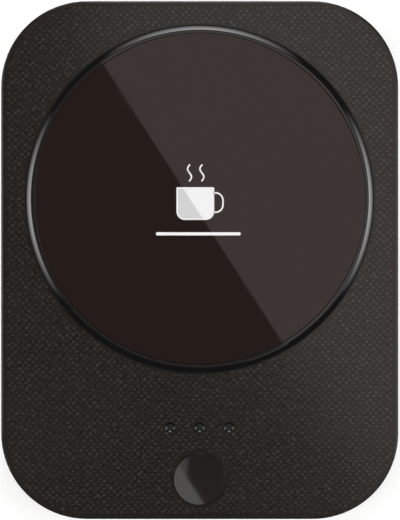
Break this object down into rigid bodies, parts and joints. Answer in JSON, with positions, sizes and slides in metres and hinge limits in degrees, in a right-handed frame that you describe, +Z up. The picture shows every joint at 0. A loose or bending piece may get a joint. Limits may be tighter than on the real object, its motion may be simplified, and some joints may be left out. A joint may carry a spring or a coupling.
{
  "type": "mug warmer",
  "caption": "Flat electric mug warmer: round glass hot plate in a bead ring, indicator lamps and a dished push button on a round-cornered housing.",
  "frame": {"origin": "middle of the footprint, on the surface that the feet stand on", "axes": "+Z up through the hot plate, +Y towards the rear with the power inlet, -Y the button end"},
  "size_m": [0.1, 0.1304, 0.0219],
  "materials": {
    "body_plastic": "fine regular texture of tiny light dots",
    "gloss_black": "polished",
    "plate_glass": "polished, dark backed",
    "silicone": "matte",
    "spreader_aluminium": "milled",
    "element_film": "satin film",
    "insulation_felt": "felt",
    "tray_steel": "satin",
    "screw_steel": "plated",
    "circuit_board": "solder mask",
    "chip_black": "moulded",
    "connector_ivory": "moulded",
    "led_white": "moulded",
    "pipe_clear": "translucent",
    "plunger_red": "moulded",
    "sensor_epoxy": "dipped",
    "lead_red": "smooth",
    "lead_white": "smooth",
    "lead_black": "smooth"
  },
  "bodies": {
    "housing": {"base_cover": "body_plastic", "top_cover": "body_plastic", "plate_ring": "gloss_black", "glass_plate": "plate_glass", "glass_gasket": "silicone", "heat_spreader": "spreader_aluminium", "heating_element": "element_film", "insulation_disc": "insulation_felt", "heater_tray": "tray_steel", "tray_screws": "screw_steel", "thermistor": "sensor_epoxy", "thermal_fuse": "connector_ivory", "main_board": "circuit_board", "main_board_screws": "screw_steel", "control_chip": "chip_black", "power_transistor": "chip_black", "capacitor": "spreader_aluminium", "power_connector": "connector_ivory", "heater_connector": "connector_ivory", "sensor_connector": "connector_ivory", "led_left": "led_white", "led_middle": "led_white", "led_right": "led_white", "light_pipe_left": "pipe_clear", "light_pipe_middle": "pipe_clear", "light_pipe_right": "pipe_clear", "switch_body": "chip_black", "inlet_board": "circuit_board", "inlet_board_screws": "screw_steel", "inlet_connector": "connector_ivory", "inlet_shell": "tray_steel", "inlet_tongue": "chip_black", "power_leads": "lead_red", "heater_leads": "lead_white", "sensor_leads": "lead_black", "housing_screws": "screw_steel", "foot_front_left": "silicone", "foot_front_right": "silicone", "foot_rear_left": "silicone", "foot_rear_right": "silicone"},
    "button": {"button_cap": "gloss_black", "switch_plunger": "plunger_red"}
  },
  "joints": [
    {"name": "button_press", "type": "slide", "parent": "housing", "child": "button", "axis": [0, 0, -1], "range_m": [0, 0.0008], "stiffness_N_per_m": 2000, "springref_m": -0.0004}
  ]
}
